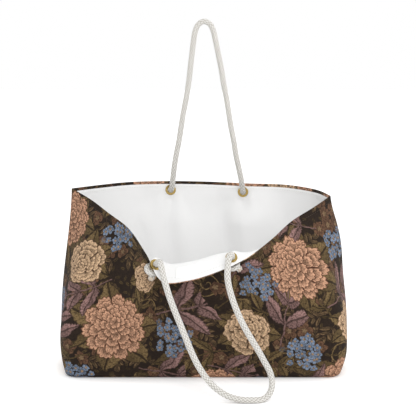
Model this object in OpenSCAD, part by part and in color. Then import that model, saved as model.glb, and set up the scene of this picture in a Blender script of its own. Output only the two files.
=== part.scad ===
// Rope-handled carpet bag: two printed cloth panels boxed at the base, a white lining,
// four brass eyelets and two rope handles with stopper knots outside the cloth.
// The bag stands on z = 0 with its base centred on the origin. +X is the bag's long
// side, -Y is the front, whose hem has turned down and outwards.

/* [Bag] */
// Width of the flat cloth between the two side seams
cloth_w = 610; // [560:2:660]
// Depth of the boxed base
base_d = 146; // [120:2:170]
// Distance between the tops of the two side seams
mouth_w = 434; // [400:2:460]
// Height of the rim at the side seams
corner_h = 308; // [285:1:330]
// How far the back rim leans behind the middle of the base
back_reach = 148; // [125:1:165]
// How far the front hem hangs forward of the middle of the base
front_reach = 164; // [145:1:180]
// Height of the lowest point of the turned-down front hem
lip_h = 172; // [155:1:190]
// Height of the pull that rounds the front fold, above the hem
fold_rise = 94; // [84:1:106]
// Setback of the pull that rounds the front fold, behind the hem
fold_back = 62; // [54:1:74]
// How far the walls swell out above the base
belly = 26; // [10:1:34]
// Rounding where the base turns up into the walls
base_edge_r = 8; // [5:0.5:14]
// Rounding of the base's corners seen from above
base_corner_r = 24; // [16:1:40]

/* [Cloth] */
// Thickness of the printed cloth
shell_t = 1; // [0.8:0.1:1.4]
// Thickness of the lining
lining_t = 0.7; // [0.5:0.1:1]
// Clearance between one layer of cloth and the next
cloth_gap = 0.3; // [0.2:0.05:0.4]

/* [Eyelets] */
// Outer diameter of an eyelet's flange and of its washer
eyelet_od = 19; // [17:0.5:21]
// Bore of an eyelet
eyelet_bore = 11; // [10.6:0.2:12]
// Distance between the two eyelets of one handle, along the hem
eyelet_spacing = 135; // [120:1:150]
// Distance of an eyelet's centre from the hem
eyelet_inset = 15; // [14:0.5:18]
// Width of the flat cloth left round an eyelet
pad_margin = 4; // [3:0.5:6]
// Wall of an eyelet's barrel
barrel_t = 0.6; // [0.4:0.1:0.8]
// Height of an eyelet's flange
flange_h = 1.5; // [1.2:0.1:2]
// Width of the barrel's edge that is rolled over the washer
roll_w = 1.2; // [0.8:0.1:1.6]
// Thickness of a washer
washer_t = 1; // [0.8:0.1:1.4]

/* [Handles] */
// Diameter of the braided rope
rope_d = 10; // [9:0.2:10.4]
// Diameter of a stopper knot
knot_d = 22; // [20:0.5:24]
// Length of the rope's end past the knot
tail_l = 13; // [8:1:20]

/* [Label] */
// Width of the sewn-in label
label_w = 36; // [26:1:44]
// Thickness of the label
label_t = 0.3; // [0.2:0.1:0.5]

/* [Hidden] */
FRONT = -1;
BACK = 1;
LEFT = 0;
RIGHT = 1;
$fn = 48;

base_w = cloth_w - base_d;
half_w = base_w / 2;
half_d = base_d / 2;
mouth_r = mouth_w / 2;
cloth_t = shell_t + cloth_gap + lining_t;
fit = 0.1;

// Shape of the front hem from the left seam to the right seam, at even steps along the cloth:
// share of the mouth's half width, share of the forward reach, share of the height above the lip
FRONT_HEM = [
    [-1.02, 0, 1], [-0.86, 0.22, 0.9], [-0.71, 0.44, 0.77], [-0.55, 0.65, 0.62],
    [-0.42, 0.84, 0.37], [-0.3, 0.96, 0.07], [-0.1, 1, 0.08], [0.14, 0.95, 0.19],
    [0.34, 0.83, 0.32], [0.52, 0.65, 0.5], [0.67, 0.46, 0.68], [0.83, 0.24, 0.8], [0.98, 0, 0.91]
];
// Shape of the back rim in the same way, with its height as a share of the corner's height
BACK_RIM = [
    [-1.02, 0, 1], [-0.84, 0.41, 0.995], [-0.61, 0.79, 0.99], [-0.31, 0.97, 0.985], [0.03, 1, 0.98],
    [0.37, 0.99, 0.97], [0.68, 0.86, 0.97], [0.9, 0.5, 0.965], [0.98, 0, 0.96]
];
// Stretch of the front hem that is turned down: start and end of each ramp along the cloth
FOLD_ON = [0.2, 0.37];
FOLD_OFF = [0.63, 0.87];

// Columns of the cloth's net, along the hem
eyelet_u = [0.5 - eyelet_spacing / cloth_w / 2, 0.5 + eyelet_spacing / cloth_w / 2];
pad = eyelet_od / 2 + pad_margin;
pad_u = pad / cloth_w;
label_u = 0.494;
label_edge = [label_u - label_w / cloth_w / 2, label_u + label_w / cloth_w / 2];
function spread(a, b, n) = [for (i = [0 : n - 1]) a + (b - a) * i / n];
COLUMNS = concat(
    spread(0, eyelet_u[LEFT] - pad_u, 12), [eyelet_u[LEFT] - pad_u, eyelet_u[LEFT]],
    spread(eyelet_u[LEFT] + pad_u, label_edge[0], 2), spread(label_edge[0], label_edge[1], 2),
    spread(label_edge[1], eyelet_u[RIGHT] - pad_u, 3), [eyelet_u[RIGHT] - pad_u, eyelet_u[RIGHT]],
    spread(eyelet_u[RIGHT] + pad_u, 1, 12), [1]
);
columns = len(COLUMNS);
// Rows of the net: base and its rounded edge, then the wall up to the eyelets' band, then the band
BASE_ROWS = 3;
WALL_ROWS = 8;
BAND = [eyelet_inset + pad, eyelet_inset, eyelet_inset / 4, 0];
rows = BASE_ROWS + WALL_ROWS + len(BAND);
// Radii round an eyelet inside which the cloth lies flat, and outside which it is free
FLAT_R = [pad * 1.45, pad * 2.7];

// Small helpers
function smooth(x) = let (c = min(1, max(0, x))) c * c * (3 - 2 * c);
function unit(v) = v / norm(v);
function mix(a, b, k) = a + (b - a) * k;

// Curve through evenly spaced keys, at a share u of its length
function curve(keys, u) =
    let (
        last = len(keys) - 1,
        i = min(last - 1, floor(u * last)),
        t = u * last - i,
        p0 = keys[max(0, i - 1)],
        p1 = keys[i],
        p2 = keys[i + 1],
        p3 = keys[min(last, i + 2)]
    )
    p1 + (p2 - p0) * t / 2 + (2 * p0 - 5 * p1 + 4 * p2 - p3) * t * t / 2
    + (3 * p1 - p0 - 3 * p2 + p3) * t * t * t / 2;

// Point and outward direction on the base's edge, front half, at a share u from seam to seam
edge_side = half_d - base_corner_r;
edge_arc = base_corner_r * PI / 2;
edge_half = edge_side + edge_arc + half_w - base_corner_r;
function edge_left(d) =
    d <= edge_side ? [[-half_w, -d], [-1, 0]]
    : d <= edge_side + edge_arc ?
        let (a = (d - edge_side) / base_corner_r * 180 / PI, n = [-cos(a), -sin(a)])
        [[base_corner_r - half_w, -edge_side] + base_corner_r * n, n]
    : [[base_corner_r - half_w + d - edge_side - edge_arc, -half_d], [0, -1]];
function edge(u) =
    let (e = edge_left(2 * edge_half * min(u, 1 - u)), m = u <= 0.5 ? 1 : -1)
    [[e[0].x * m, e[0].y], [e[1].x * m, e[1].y]];

// Hem point at a share u along the cloth
function hem(side, u) =
    side == FRONT ?
        let (k = curve(FRONT_HEM, u))
        [k.x * mouth_r, -k.y * front_reach, mix(lip_h, corner_h, k.z)]
    : let (k = curve(BACK_RIM, u)) [k.x * mouth_r, k.y * back_reach, k.z * corner_h];

// How far the cloth is turned down at u
function fold(side, u) =
    side == BACK ? 0
    : smooth((u - FOLD_ON[0]) / (FOLD_ON[1] - FOLD_ON[0]))
      * smooth((FOLD_OFF[1] - u) / (FOLD_OFF[1] - FOLD_OFF[0]));

// Control points of the wall's curve from the base edge up to the hem
function wall(side, u) =
    let (
        e = edge(u),
        foot = [e[0].x, -side * e[0].y, base_edge_r],
        out = [e[1].x, -side * e[1].y, 0],
        top = hem(side, u),
        f = fold(side, u),
        upright = mix(top, foot, 1 / 3),
        turned = top + [0, fold_back, fold_rise]
    )
    [foot, foot + out * belly + [0, 0, top.z / 3], mix(upright, turned, f), top];
function along(w, t) =
    w[0] * pow(1 - t, 3) + 3 * w[1] * t * pow(1 - t, 2) + 3 * w[2] * t * t * (1 - t) + w[3] * pow(t, 3);
// Share of the wall's curve that lies a distance d below the hem, found by a few corrections
function corrected(w, d, t) = 1 - (1 - t) * d / norm(w[3] - along(w, t));
function below_hem(w, d) =
    d == 0 ? 1
    : let (t = 1 - d / (3 * norm(w[3] - w[2])))
      corrected(w, d, corrected(w, d, corrected(w, d, t)));

// Seat of an eyelet: its centre on the outer face and the outward direction there
function seat(side, k) =
    let (
        u = eyelet_u[k],
        w = wall(side, u),
        t = below_hem(w, eyelet_inset),
        du = pad_u / 2,
        dt = 1 - below_hem(w, pad / 2),
        across = along(wall(side, u + du), t) - along(wall(side, u - du), t),
        up = along(w, t + dt) - along(w, t - dt)
    )
    [along(w, t), -side * unit(cross(across, up))];
SEATS = [[seat(FRONT, LEFT), seat(FRONT, RIGHT)], [seat(BACK, LEFT), seat(BACK, RIGHT)]];
function seats(side) = SEATS[side == FRONT ? 0 : 1];

// The cloth lies flat round each eyelet: u and d place the point along the cloth and below its hem
function flatness(u, d, k) =
    let (r = norm([(u - eyelet_u[k]) * cloth_w, d - eyelet_inset]))
    1 - smooth((r - FLAT_R[0]) / (FLAT_R[1] - FLAT_R[0]));
function toward_plane(p, s, w) = p - s[1] * ((p - s[0]) * s[1]) * w;
function pressed(side, p, u, d) =
    let (s = seats(side), q = toward_plane(p, s[LEFT], flatness(u, d, LEFT)))
    toward_plane(q, s[RIGHT], flatness(u, d, RIGHT));

// One column of the net, from the base's middle seam to the hem
function column(side, u) =
    let (
        w = wall(side, u),
        e = edge(u),
        inner = e[0] - e[1] * base_edge_r,
        bend = e[0] - e[1] * base_edge_r * (1 - sin(45)),
        middle = (2 * u - 1) * (half_w - 2 * base_edge_r),
        t_band = below_hem(w, BAND[0])
    )
    concat(
        [
            [middle, 0, 0],
            [inner.x, -side * inner.y, 0],
            [bend.x, -side * bend.y, base_edge_r * (1 - cos(45))]
        ],
        [
            for (j = [0 : WALL_ROWS - 1])
                let (p = along(w, t_band * j / WALL_ROWS))
                pressed(side, p, u, norm(w[3] - p))
        ],
        [for (d = BAND) pressed(side, along(w, below_hem(w, d)), u, d)]
    );
function net(side) = [for (u = COLUMNS) column(side, u)];

// Outward direction at a knot of the net: straight down on the base's middle seam
function net_normal(side, g, i, j) =
    j == 0 ? [0, 0, -1]
    : let (
        across = g[min(columns - 1, i + 1)][j] - g[max(0, i - 1)][j],
        up = g[i][min(rows - 1, j + 1)] - g[i][max(0, j - 1)]
    )
    -side * unit(cross(across, up));

// The net pushed inwards by a depth, kept on its own side of the seams
function layer(side, g, depth) = [
    for (i = [0 : columns - 1]) [
        for (j = [0 : rows - 1])
            let (p = g[i][j] - net_normal(side, g, i, j) * depth)
            [p.x, side * max(0, side * p.y), p.z]
    ]
];
NETS = [net(FRONT), net(BACK)];
function depth_layer(side, depth) = layer(side, NETS[side == FRONT ? 0 : 1], depth);

// Which way a mesh of the net is split: along its shorter diagonal, and on the base away from the seams
function split(side, i, j) =
    let (g = NETS[side == FRONT ? 0 : 1])
    j == 0 ? i < columns / 2 : norm(g[i][j] - g[i + 1][j + 1]) < norm(g[i][j + 1] - g[i + 1][j]);

// Closed sheet between two nets of the same shape, the first one outside, that start at a column and row
module sheet(outer, inner, side, first = [0, 0]) {
    m = len(outer[0]);
    n = len(outer);
    count = n * m;
    points = concat([for (c = outer) for (p = c) p], [for (c = inner) for (p = c) p]);
    skin = [
        for (i = [0 : n - 2]) for (j = [0 : m - 2])
            let (a = i * m + j, b = a + m)
            each split(side, i + first.x, j + first.y) ?
                [[a, a + 1, b + 1], [a, b + 1, b]]
                : [[a, a + 1, b], [b, a + 1, b + 1]]
    ];
    lining = [for (f = skin) [f[0] + count, f[2] + count, f[1] + count]];
    rim = concat(
        [for (j = [0 : m - 2]) [j + 1, j]],
        [for (i = [0 : n - 2]) [i * m, (i + 1) * m]],
        [for (j = [0 : m - 2]) [(n - 1) * m + j, (n - 1) * m + j + 1]],
        [for (i = [0 : n - 2]) [(i + 2) * m - 1, (i + 1) * m - 1]]
    );
    edges = [for (e = rim) each [[e[0], e[1], e[1] + count], [e[0], e[1] + count, e[0] + count]]];
    all = concat(skin, lining, edges);
    polyhedron(points, side == FRONT ? all : [for (f = all) [f[0], f[2], f[1]]], convexity = 10);
}

// Children stand on an eyelet's seat with their +Z pointing out of the bag
module on_seat(s) {
    n = s[1];
    translate(s[0]) rotate([0, acos(n.z), atan2(n.y, n.x)]) children();
}

barrel_r = eyelet_bore / 2 + barrel_t;
module cloth(side, depth, t) {
    difference() {
        sheet(depth_layer(side, depth), depth_layer(side, depth + t), side);
        for (s = seats(side))
            on_seat(s) translate([0, 0, -2 * cloth_t]) cylinder(r = barrel_r + cloth_gap, h = 4 * cloth_t);
    }
}
module panel(side) { color([0.24, 0.17, 0.13]) cloth(side, 0, shell_t); }
module lining(side) { color([0.95, 0.94, 0.92]) cloth(side, shell_t + cloth_gap, lining_t); }

// Eyelet set from the inside: rounded flange, barrel and an edge rolled over the washer
module eyelet(side, k) {
    low = -cloth_t - fit;
    high = fit + washer_t + fit;
    roll_r = barrel_r + roll_w;
    color([0.78, 0.6, 0.27]) on_seat(seats(side)[k]) rotate_extrude() {
        translate([eyelet_bore / 2, low - flange_h]) square([barrel_t, high - low + flange_h]);
        translate([eyelet_bore / 2, low - flange_h / 2])
            square([eyelet_od / 2 - eyelet_bore / 2 - flange_h / 2, flange_h / 2]);
        translate([eyelet_bore / 2 + flange_h / 2, low - flange_h])
            square([eyelet_od / 2 - eyelet_bore / 2 - flange_h, flange_h]);
        translate([eyelet_od / 2 - flange_h / 2, low - flange_h / 2]) circle(r = flange_h / 2);
        translate([eyelet_bore / 2, high]) square([roll_r - eyelet_bore / 2, barrel_t]);
    }
}
module washer(side, k) {
    color([0.74, 0.57, 0.26]) on_seat(seats(side)[k]) translate([0, 0, fit]) difference() {
        cylinder(d = eyelet_od, h = washer_t);
        translate([0, 0, -fit]) cylinder(r = barrel_r + fit, h = washer_t + 2 * fit);
    }
}

// Stopper knot outside the bag, with the rope's end and the stub that passes the eyelet
rope_r = rope_d / 2;
stub_end = cloth_t + fit + flange_h;
knot_low = 2 * fit + washer_t + barrel_t + fit;
module knot(side, k) {
    turn_r = knot_d / 4;
    turn_at = knot_d / 2 - turn_r;
    color([0.93, 0.91, 0.86]) on_seat(seats(side)[k]) {
        translate([0, 0, -stub_end]) cylinder(r = rope_r, h = stub_end + knot_low + turn_r);
        translate([0, 0, knot_low]) rotate_extrude() {
            for (z = [turn_r, 2.4 * turn_r]) translate([turn_at, z]) circle(r = turn_r);
            square([turn_at, 3.4 * turn_r]);
        }
        translate([0, 0, knot_low + 2 * turn_r]) rotate([0, 80, 0]) cylinder(r = rope_r, h = turn_r + tail_l);
    }
}

// Handle ropes: their routes from eyelet to eyelet
BACK_ROUTE = [
    [-58, 133, 291], [-57, 128, 293], [-56, 123, 297], [-55, 119, 304], [-54, 117, 314], [-52, 115, 330],
    [-48, 114, 355], [-43, 114, 380], [-39, 114, 405], [-35, 114, 430], [-30, 114, 455], [-26, 114, 480],
    [-23, 114, 505], [-19, 114, 530], [-16, 114, 555], [-12, 114, 574], [-6, 114, 587], [2, 114, 593],
    [10, 114, 587], [16, 114, 574], [21, 114, 555], [26, 114, 530], [32, 114, 505], [36, 114, 480],
    [41, 114, 455], [45, 114, 430], [49, 114, 405], [54, 114, 380], [58, 114, 355], [63, 115, 332],
    [67, 117, 313], [69, 120, 301], [70, 125, 293], [71, 130, 289], [71, 135, 287]
];
FRONT_ROUTE = [
    [-71, -150, 209], [-68, -155, 213], [-66, -161, 215], [-65, -168, 214], [-63, -175, 209], [-61, -182, 199],
    [-57, -187, 183], [-52, -190, 167], [-45, -193, 148], [-36, -196, 126], [-27, -199, 104], [-18, -202, 82],
    [-8, -205, 61], [4, -207, 42], [19, -209, 25], [38, -210, 12], [58, -211, 6], [76, -211, 5],
    [91, -208, 5], [102, -200, 9], [108, -189, 17], [109, -180, 28], [105, -176, 42], [97, -176, 57],
    [88, -178, 74], [77, -181, 93], [66, -184, 113], [56, -186, 134], [48, -188, 155], [42, -188, 175],
    [39, -187, 193], [39, -183, 208], [40, -176, 220], [42, -168, 226], [44, -161, 227], [45, -155, 225],
    [46, -149, 221]
];
ROPE_SIDES = 8;
ROPE_REF = unit([1, 1, 1]);
// Rings of a rope: place, direction and radius, with a rounded end at both eyelets
function heading(route, i) = unit(route[min(len(route) - 1, i + 1)] - route[max(0, i - 1)]);
function ball(p, out, a) = [p + out * rope_r * sin(a), out, rope_r * cos(a)];
function rope_rings(route) =
    let (last = len(route) - 1, out0 = heading(route, 0), out1 = heading(route, last))
    concat(
        [for (a = [75, 40]) ball(route[0], -out0, a)],
        [for (i = [0 : last]) [route[i], heading(route, i), rope_r]],
        [for (a = [40, 75]) ball(route[last], out1, a)]
    );
function ring_points(r, h) =
    let (side = unit(cross(h, ROPE_REF)), up = cross(side, h))
    [
        for (k = [0 : ROPE_SIDES - 1])
            r[0] + r[2] * (side * cos(360 * k / ROPE_SIDES) + up * sin(360 * k / ROPE_SIDES))
    ];
module rope(route) {
    rings = rope_rings(route);
    n = len(rings);
    headings = [for (i = [0 : n - 1]) i < 2 ? rings[2][1] : i > n - 3 ? rings[n - 3][1] : rings[i][1]];
    points = [for (i = [0 : n - 1]) each ring_points(rings[i], headings[i])];
    sides = [
        for (i = [0 : n - 2]) for (k = [0 : ROPE_SIDES - 1])
            let (a = i * ROPE_SIDES + k, b = i * ROPE_SIDES + (k + 1) % ROPE_SIDES, c = ROPE_SIDES)
            each [[a, b, a + c], [b, b + c, a + c]]
    ];
    first = [for (k = [0 : ROPE_SIDES - 1]) ROPE_SIDES - 1 - k];
    end = [for (k = [0 : ROPE_SIDES - 1]) (n - 1) * ROPE_SIDES + k];
    color([0.93, 0.91, 0.86]) polyhedron(points, concat(sides, [first, end]), convexity = 10);
}

// Label sewn on the lining of the front lip, between two columns and within the eyelets' band
label_first = 16;
label_last = 18;
module care_label() {
    top = cloth_t + fit;
    row_first = BASE_ROWS + WALL_ROWS;
    rows_used = [row_first : row_first + 2];
    under = depth_layer(FRONT, top);
    over = depth_layer(FRONT, top + label_t);
    color([0.97, 0.97, 0.96]) sheet(
        [for (i = [label_first : label_last]) [for (j = rows_used) under[i][j]]],
        [for (i = [label_first : label_last]) [for (j = rows_used) over[i][j]]],
        FRONT,
        [label_first, row_first]
    );
}

panel(FRONT);  // front_panel
panel(BACK);  // back_panel
lining(FRONT);  // front_lining
lining(BACK);  // back_lining
care_label();
eyelet(FRONT, LEFT);  // eyelet_front_left
eyelet(FRONT, RIGHT);  // eyelet_front_right
eyelet(BACK, LEFT);  // eyelet_back_left
eyelet(BACK, RIGHT);  // eyelet_back_right
washer(FRONT, LEFT);  // washer_front_left
washer(FRONT, RIGHT);  // washer_front_right
washer(BACK, LEFT);  // washer_back_left
washer(BACK, RIGHT);  // washer_back_right
knot(FRONT, LEFT);  // knot_front_left
knot(FRONT, RIGHT);  // knot_front_right
knot(BACK, LEFT);  // knot_back_left
knot(BACK, RIGHT);  // knot_back_right
rope(FRONT_ROUTE);  // front_rope
rope(BACK_ROUTE);  // back_rope
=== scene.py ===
"""Rope-handled carpet bag: printed cloth, lining, braided handles, knots, label and stage."""

import math

import bpy
import numpy as np
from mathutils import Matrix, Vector


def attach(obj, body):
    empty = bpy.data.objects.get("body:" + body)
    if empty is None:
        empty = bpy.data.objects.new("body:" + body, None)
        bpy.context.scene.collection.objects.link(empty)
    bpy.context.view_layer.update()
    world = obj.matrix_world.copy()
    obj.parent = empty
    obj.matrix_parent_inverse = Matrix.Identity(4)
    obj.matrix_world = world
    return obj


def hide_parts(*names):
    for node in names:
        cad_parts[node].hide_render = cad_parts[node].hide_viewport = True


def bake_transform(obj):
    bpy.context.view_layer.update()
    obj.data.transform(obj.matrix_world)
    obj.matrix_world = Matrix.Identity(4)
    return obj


bl_info = {
    "name": "Carpet Bag",
    "version": (1, 0, 0),
    "blender": (4, 5, 0),
    "location": "View3D > Sidebar > Carpet Bag",
    "description": "Builds the cloth, ropes, knots and stage of a rope-handled carpet bag",
    "category": "Object",
}

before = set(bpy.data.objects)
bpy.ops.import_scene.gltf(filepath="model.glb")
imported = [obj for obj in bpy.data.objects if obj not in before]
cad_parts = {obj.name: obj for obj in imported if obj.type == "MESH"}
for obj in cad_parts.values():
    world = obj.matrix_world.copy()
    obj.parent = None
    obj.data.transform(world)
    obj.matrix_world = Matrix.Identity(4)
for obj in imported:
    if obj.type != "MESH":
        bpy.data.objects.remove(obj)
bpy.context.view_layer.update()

FRONT, BACK = -1, 1
LEFT, RIGHT = 0, 1
MM = 0.001

# Shapes of the two hems, as in the part's source: shares of half width, reach and height
FRONT_HEM = np.array([
    (-1.02, 0, 1), (-0.86, 0.22, 0.9), (-0.71, 0.44, 0.77), (-0.55, 0.65, 0.62),
    (-0.42, 0.84, 0.37), (-0.3, 0.96, 0.07), (-0.1, 1, 0.08), (0.14, 0.95, 0.19),
    (0.34, 0.83, 0.32), (0.52, 0.65, 0.5), (0.67, 0.46, 0.68), (0.83, 0.24, 0.8), (0.98, 0, 0.91),
])
BACK_RIM = np.array([
    (-1.02, 0, 1), (-0.84, 0.41, 0.995), (-0.61, 0.79, 0.99), (-0.31, 0.97, 0.985), (0.03, 1, 0.98),
    (0.37, 0.99, 0.97), (0.68, 0.86, 0.97), (0.9, 0.5, 0.965), (0.98, 0, 0.96),
])
# Stretch of the front hem that is turned down: start and end of each ramp along the cloth.
# Fitted to the photo, it is shorter than the solid's.
FOLD_ON = (0.315, 0.405)
FOLD_OFF = (0.55, 0.84)

# Routes of the two ropes between their eyelets, within a few millimetres of the solids'
BACK_ROUTE = np.array([
    (-58, 133, 291), (-57, 128, 293), (-56, 123, 297), (-55, 119, 304), (-54, 117, 314), (-52, 115, 330),
    (-48, 114, 355), (-43, 114, 380), (-39, 114, 405), (-35, 114, 430), (-30, 114, 455), (-26, 114, 480),
    (-23, 114, 505), (-20, 114, 530), (-17, 114, 554), (-14, 114, 572), (-8, 114, 584), (2, 114, 589),
    (12, 114, 584), (18, 114, 572), (22, 114, 554), (27, 114, 530), (32, 114, 505), (36, 114, 480),
    (41, 114, 455), (45, 114, 430), (49, 114, 405), (54, 114, 380), (58, 114, 355), (63, 115, 332),
    (67, 117, 313), (69, 120, 301), (70, 125, 293), (71, 130, 289), (71, 135, 287),
]) * MM
FRONT_ROUTE = np.array([
    (-71, -150, 209), (-68.5, -155, 211.8), (-66.5, -161, 212.4), (-65, -168, 210.4), (-63, -175, 205),
    (-61, -181.5, 195.5),
    (-57, -187, 183), (-52, -190, 167), (-45, -193, 148), (-36, -196, 126), (-27, -199, 104), (-18, -202, 82),
    (-8, -205, 61), (4, -207, 42), (19, -209, 25), (38, -210, 12), (58, -211, 6), (76, -211, 5),
    (91, -208, 5), (102, -200, 9), (108, -189, 17), (109, -180, 28), (105, -176, 42), (97, -176, 57),
    (88, -178, 74), (77, -181, 93), (66, -184, 113), (56, -186, 134), (48, -188, 155), (42, -188, 175),
    (39, -187, 191.5), (39, -183, 205), (40, -176, 216.4), (42, -168, 222.4), (44, -161, 224.2),
    (45, -155, 223.6), (46, -149, 221),
]) * MM


# Stopper knots: which way the rope's end points, its length, and how far the knot slips that way
KNOT_ENDS = {
    "front_left": (-0.5, -0.5, -0.8, 0.010, 0.001),
    "front_right": (0.6, -0.6, -0.7, 0.010, 0.0045),
    "back_left": (-0.5, 0, -1, 0.016, 0),
    "back_right": (0.4, 0, -1, 0.016, 0),
}


def length_prop(name, description, default):
    return bpy.props.FloatProperty(
        name=name, description=description, default=default, min=0,
        subtype="DISTANCE", unit="LENGTH", precision=5,
    )


def colour_prop(name, description, default):
    return bpy.props.FloatVectorProperty(
        name=name, description=description, default=default, size=3, min=0, max=1, subtype="COLOR"
    )


class BagSizes(bpy.types.PropertyGroup):
    """Sizes of the bag, which match the solids."""

    cloth_w: length_prop("Cloth width", "Flat width between the side seams", 0.61)
    base_d: length_prop("Base depth", "Depth of the boxed base", 0.146)
    mouth_w: length_prop("Mouth width", "Distance between the tops of the side seams", 0.434)
    corner_h: length_prop("Corner height", "Height of the rim at the side seams", 0.308)
    back_reach: length_prop("Back reach", "How far the back rim leans behind the base's middle", 0.148)
    front_reach: length_prop("Front reach", "How far the front hem hangs forward", 0.164)
    lip_h: length_prop("Lip height", "Height of the front hem's lowest point", 0.172)
    fold_rise: length_prop("Fold rise", "Height of the pull that rounds the front fold", 0.094)
    fold_back: length_prop("Fold setback", "Setback of the pull that rounds the front fold", 0.062)
    belly: length_prop("Belly", "How far the walls swell out", 0.026)
    base_edge_r: length_prop("Base edge", "Rounding of the base's edge", 0.008)
    base_corner_r: length_prop("Base corner", "Rounding of the base's corners", 0.024)
    shell_t: length_prop("Cloth", "Thickness of the printed cloth", 0.001)
    hem_t: length_prop("Hem thickness", "Thickness of the folded hem", 0.0024)
    hem_w: length_prop("Hem turn", "Width of printed cloth turned over the back hem", 0.0035)
    lip_t: length_prop("Lip edge", "Thickness of the front hem, whose lining comes up to its edge", 0.0014)
    lining_t: length_prop("Lining", "Thickness of the lining", 0.0007)
    cloth_gap: length_prop("Layer gap", "Clearance between cloth and lining", 0.0003)
    eyelet_od: length_prop("Eyelet", "Outer diameter of an eyelet", 0.019)
    eyelet_spacing: length_prop("Eyelet spacing", "Distance between a handle's eyelets along the hem", 0.135)
    eyelet_inset: length_prop("Eyelet inset", "Distance of an eyelet from the hem", 0.015)
    rope_d: length_prop("Rope", "Diameter of the braided rope", 0.01)
    braid_pitch: length_prop("Braid pitch", "Length of rope in which a strand passes its own width", 0.0064)
    braid_relief: length_prop("Braid relief", "Height of the strands", 0.0015)
    knot_d: length_prop("Knot", "Diameter of a stopper knot", 0.022)
    stitch_l: length_prop("Stitch", "Length of a stitch", 0.0034)
    stitch_gap: length_prop("Stitch spacing", "Distance from stitch to stitch", 0.0048)
    stitch_inset: length_prop("Stitch inset", "Distance of the hem's stitching from the hem", 0.0085)


class BagColours(bpy.types.PropertyGroup):
    """Colours of the bag, linear."""

    ground: colour_prop("Ground", "Dark brown between the flowers", (0.021, 0.0135, 0.0095))
    peach: colour_prop("Peach", "Large blooms", (0.58, 0.30, 0.185))
    cream: colour_prop("Cream", "Pale roses", (0.60, 0.395, 0.225))
    blue: colour_prop("Blue", "Small clustered flowers", (0.200, 0.262, 0.372))
    mauve: colour_prop("Mauve", "Dusky leaves", (0.335, 0.200, 0.188))
    olive: colour_prop("Olive", "Green leaves and stems", (0.190, 0.130, 0.060))
    lining: colour_prop("Lining", "White cloth inside", (0.83, 0.828, 0.824))
    rope: colour_prop("Rope", "Off-white cotton", (0.735, 0.72, 0.69))
    brass: colour_prop("Brass", "Eyelets and washers", (0.50, 0.36, 0.13))


def sizes():
    return bpy.context.scene.carpet_bag_sizes


def colours():
    return bpy.context.scene.carpet_bag_colours


# Small helpers on arrays
def smooth(x):
    c = np.clip(x, 0, 1)
    return c * c * (3 - 2 * c)


def hump(off, width):
    """A soft ridge: 1 where off is 0, falling away over width."""
    return np.exp(-(off / width) ** 2)


def unit(v):
    return v / np.maximum(np.linalg.norm(v, axis=-1, keepdims=True), 1e-12)


def curve_through(keys, u):
    """Points on the curve through evenly spaced keys, at shares u of its length."""
    last = len(keys) - 1
    i = np.minimum(last - 1, np.floor(u * last).astype(int))
    t = (u * last - i)[..., None]
    p0, p1 = keys[np.maximum(0, i - 1)], keys[i]
    p2, p3 = keys[i + 1], keys[np.minimum(last, i + 2)]
    square = (2 * p0 - 5 * p1 + 4 * p2 - p3) * t * t / 2
    cube = (3 * p1 - p0 - 3 * p2 + p3) * t ** 3 / 2
    return p1 + (p2 - p0) * t / 2 + square + cube


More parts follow.
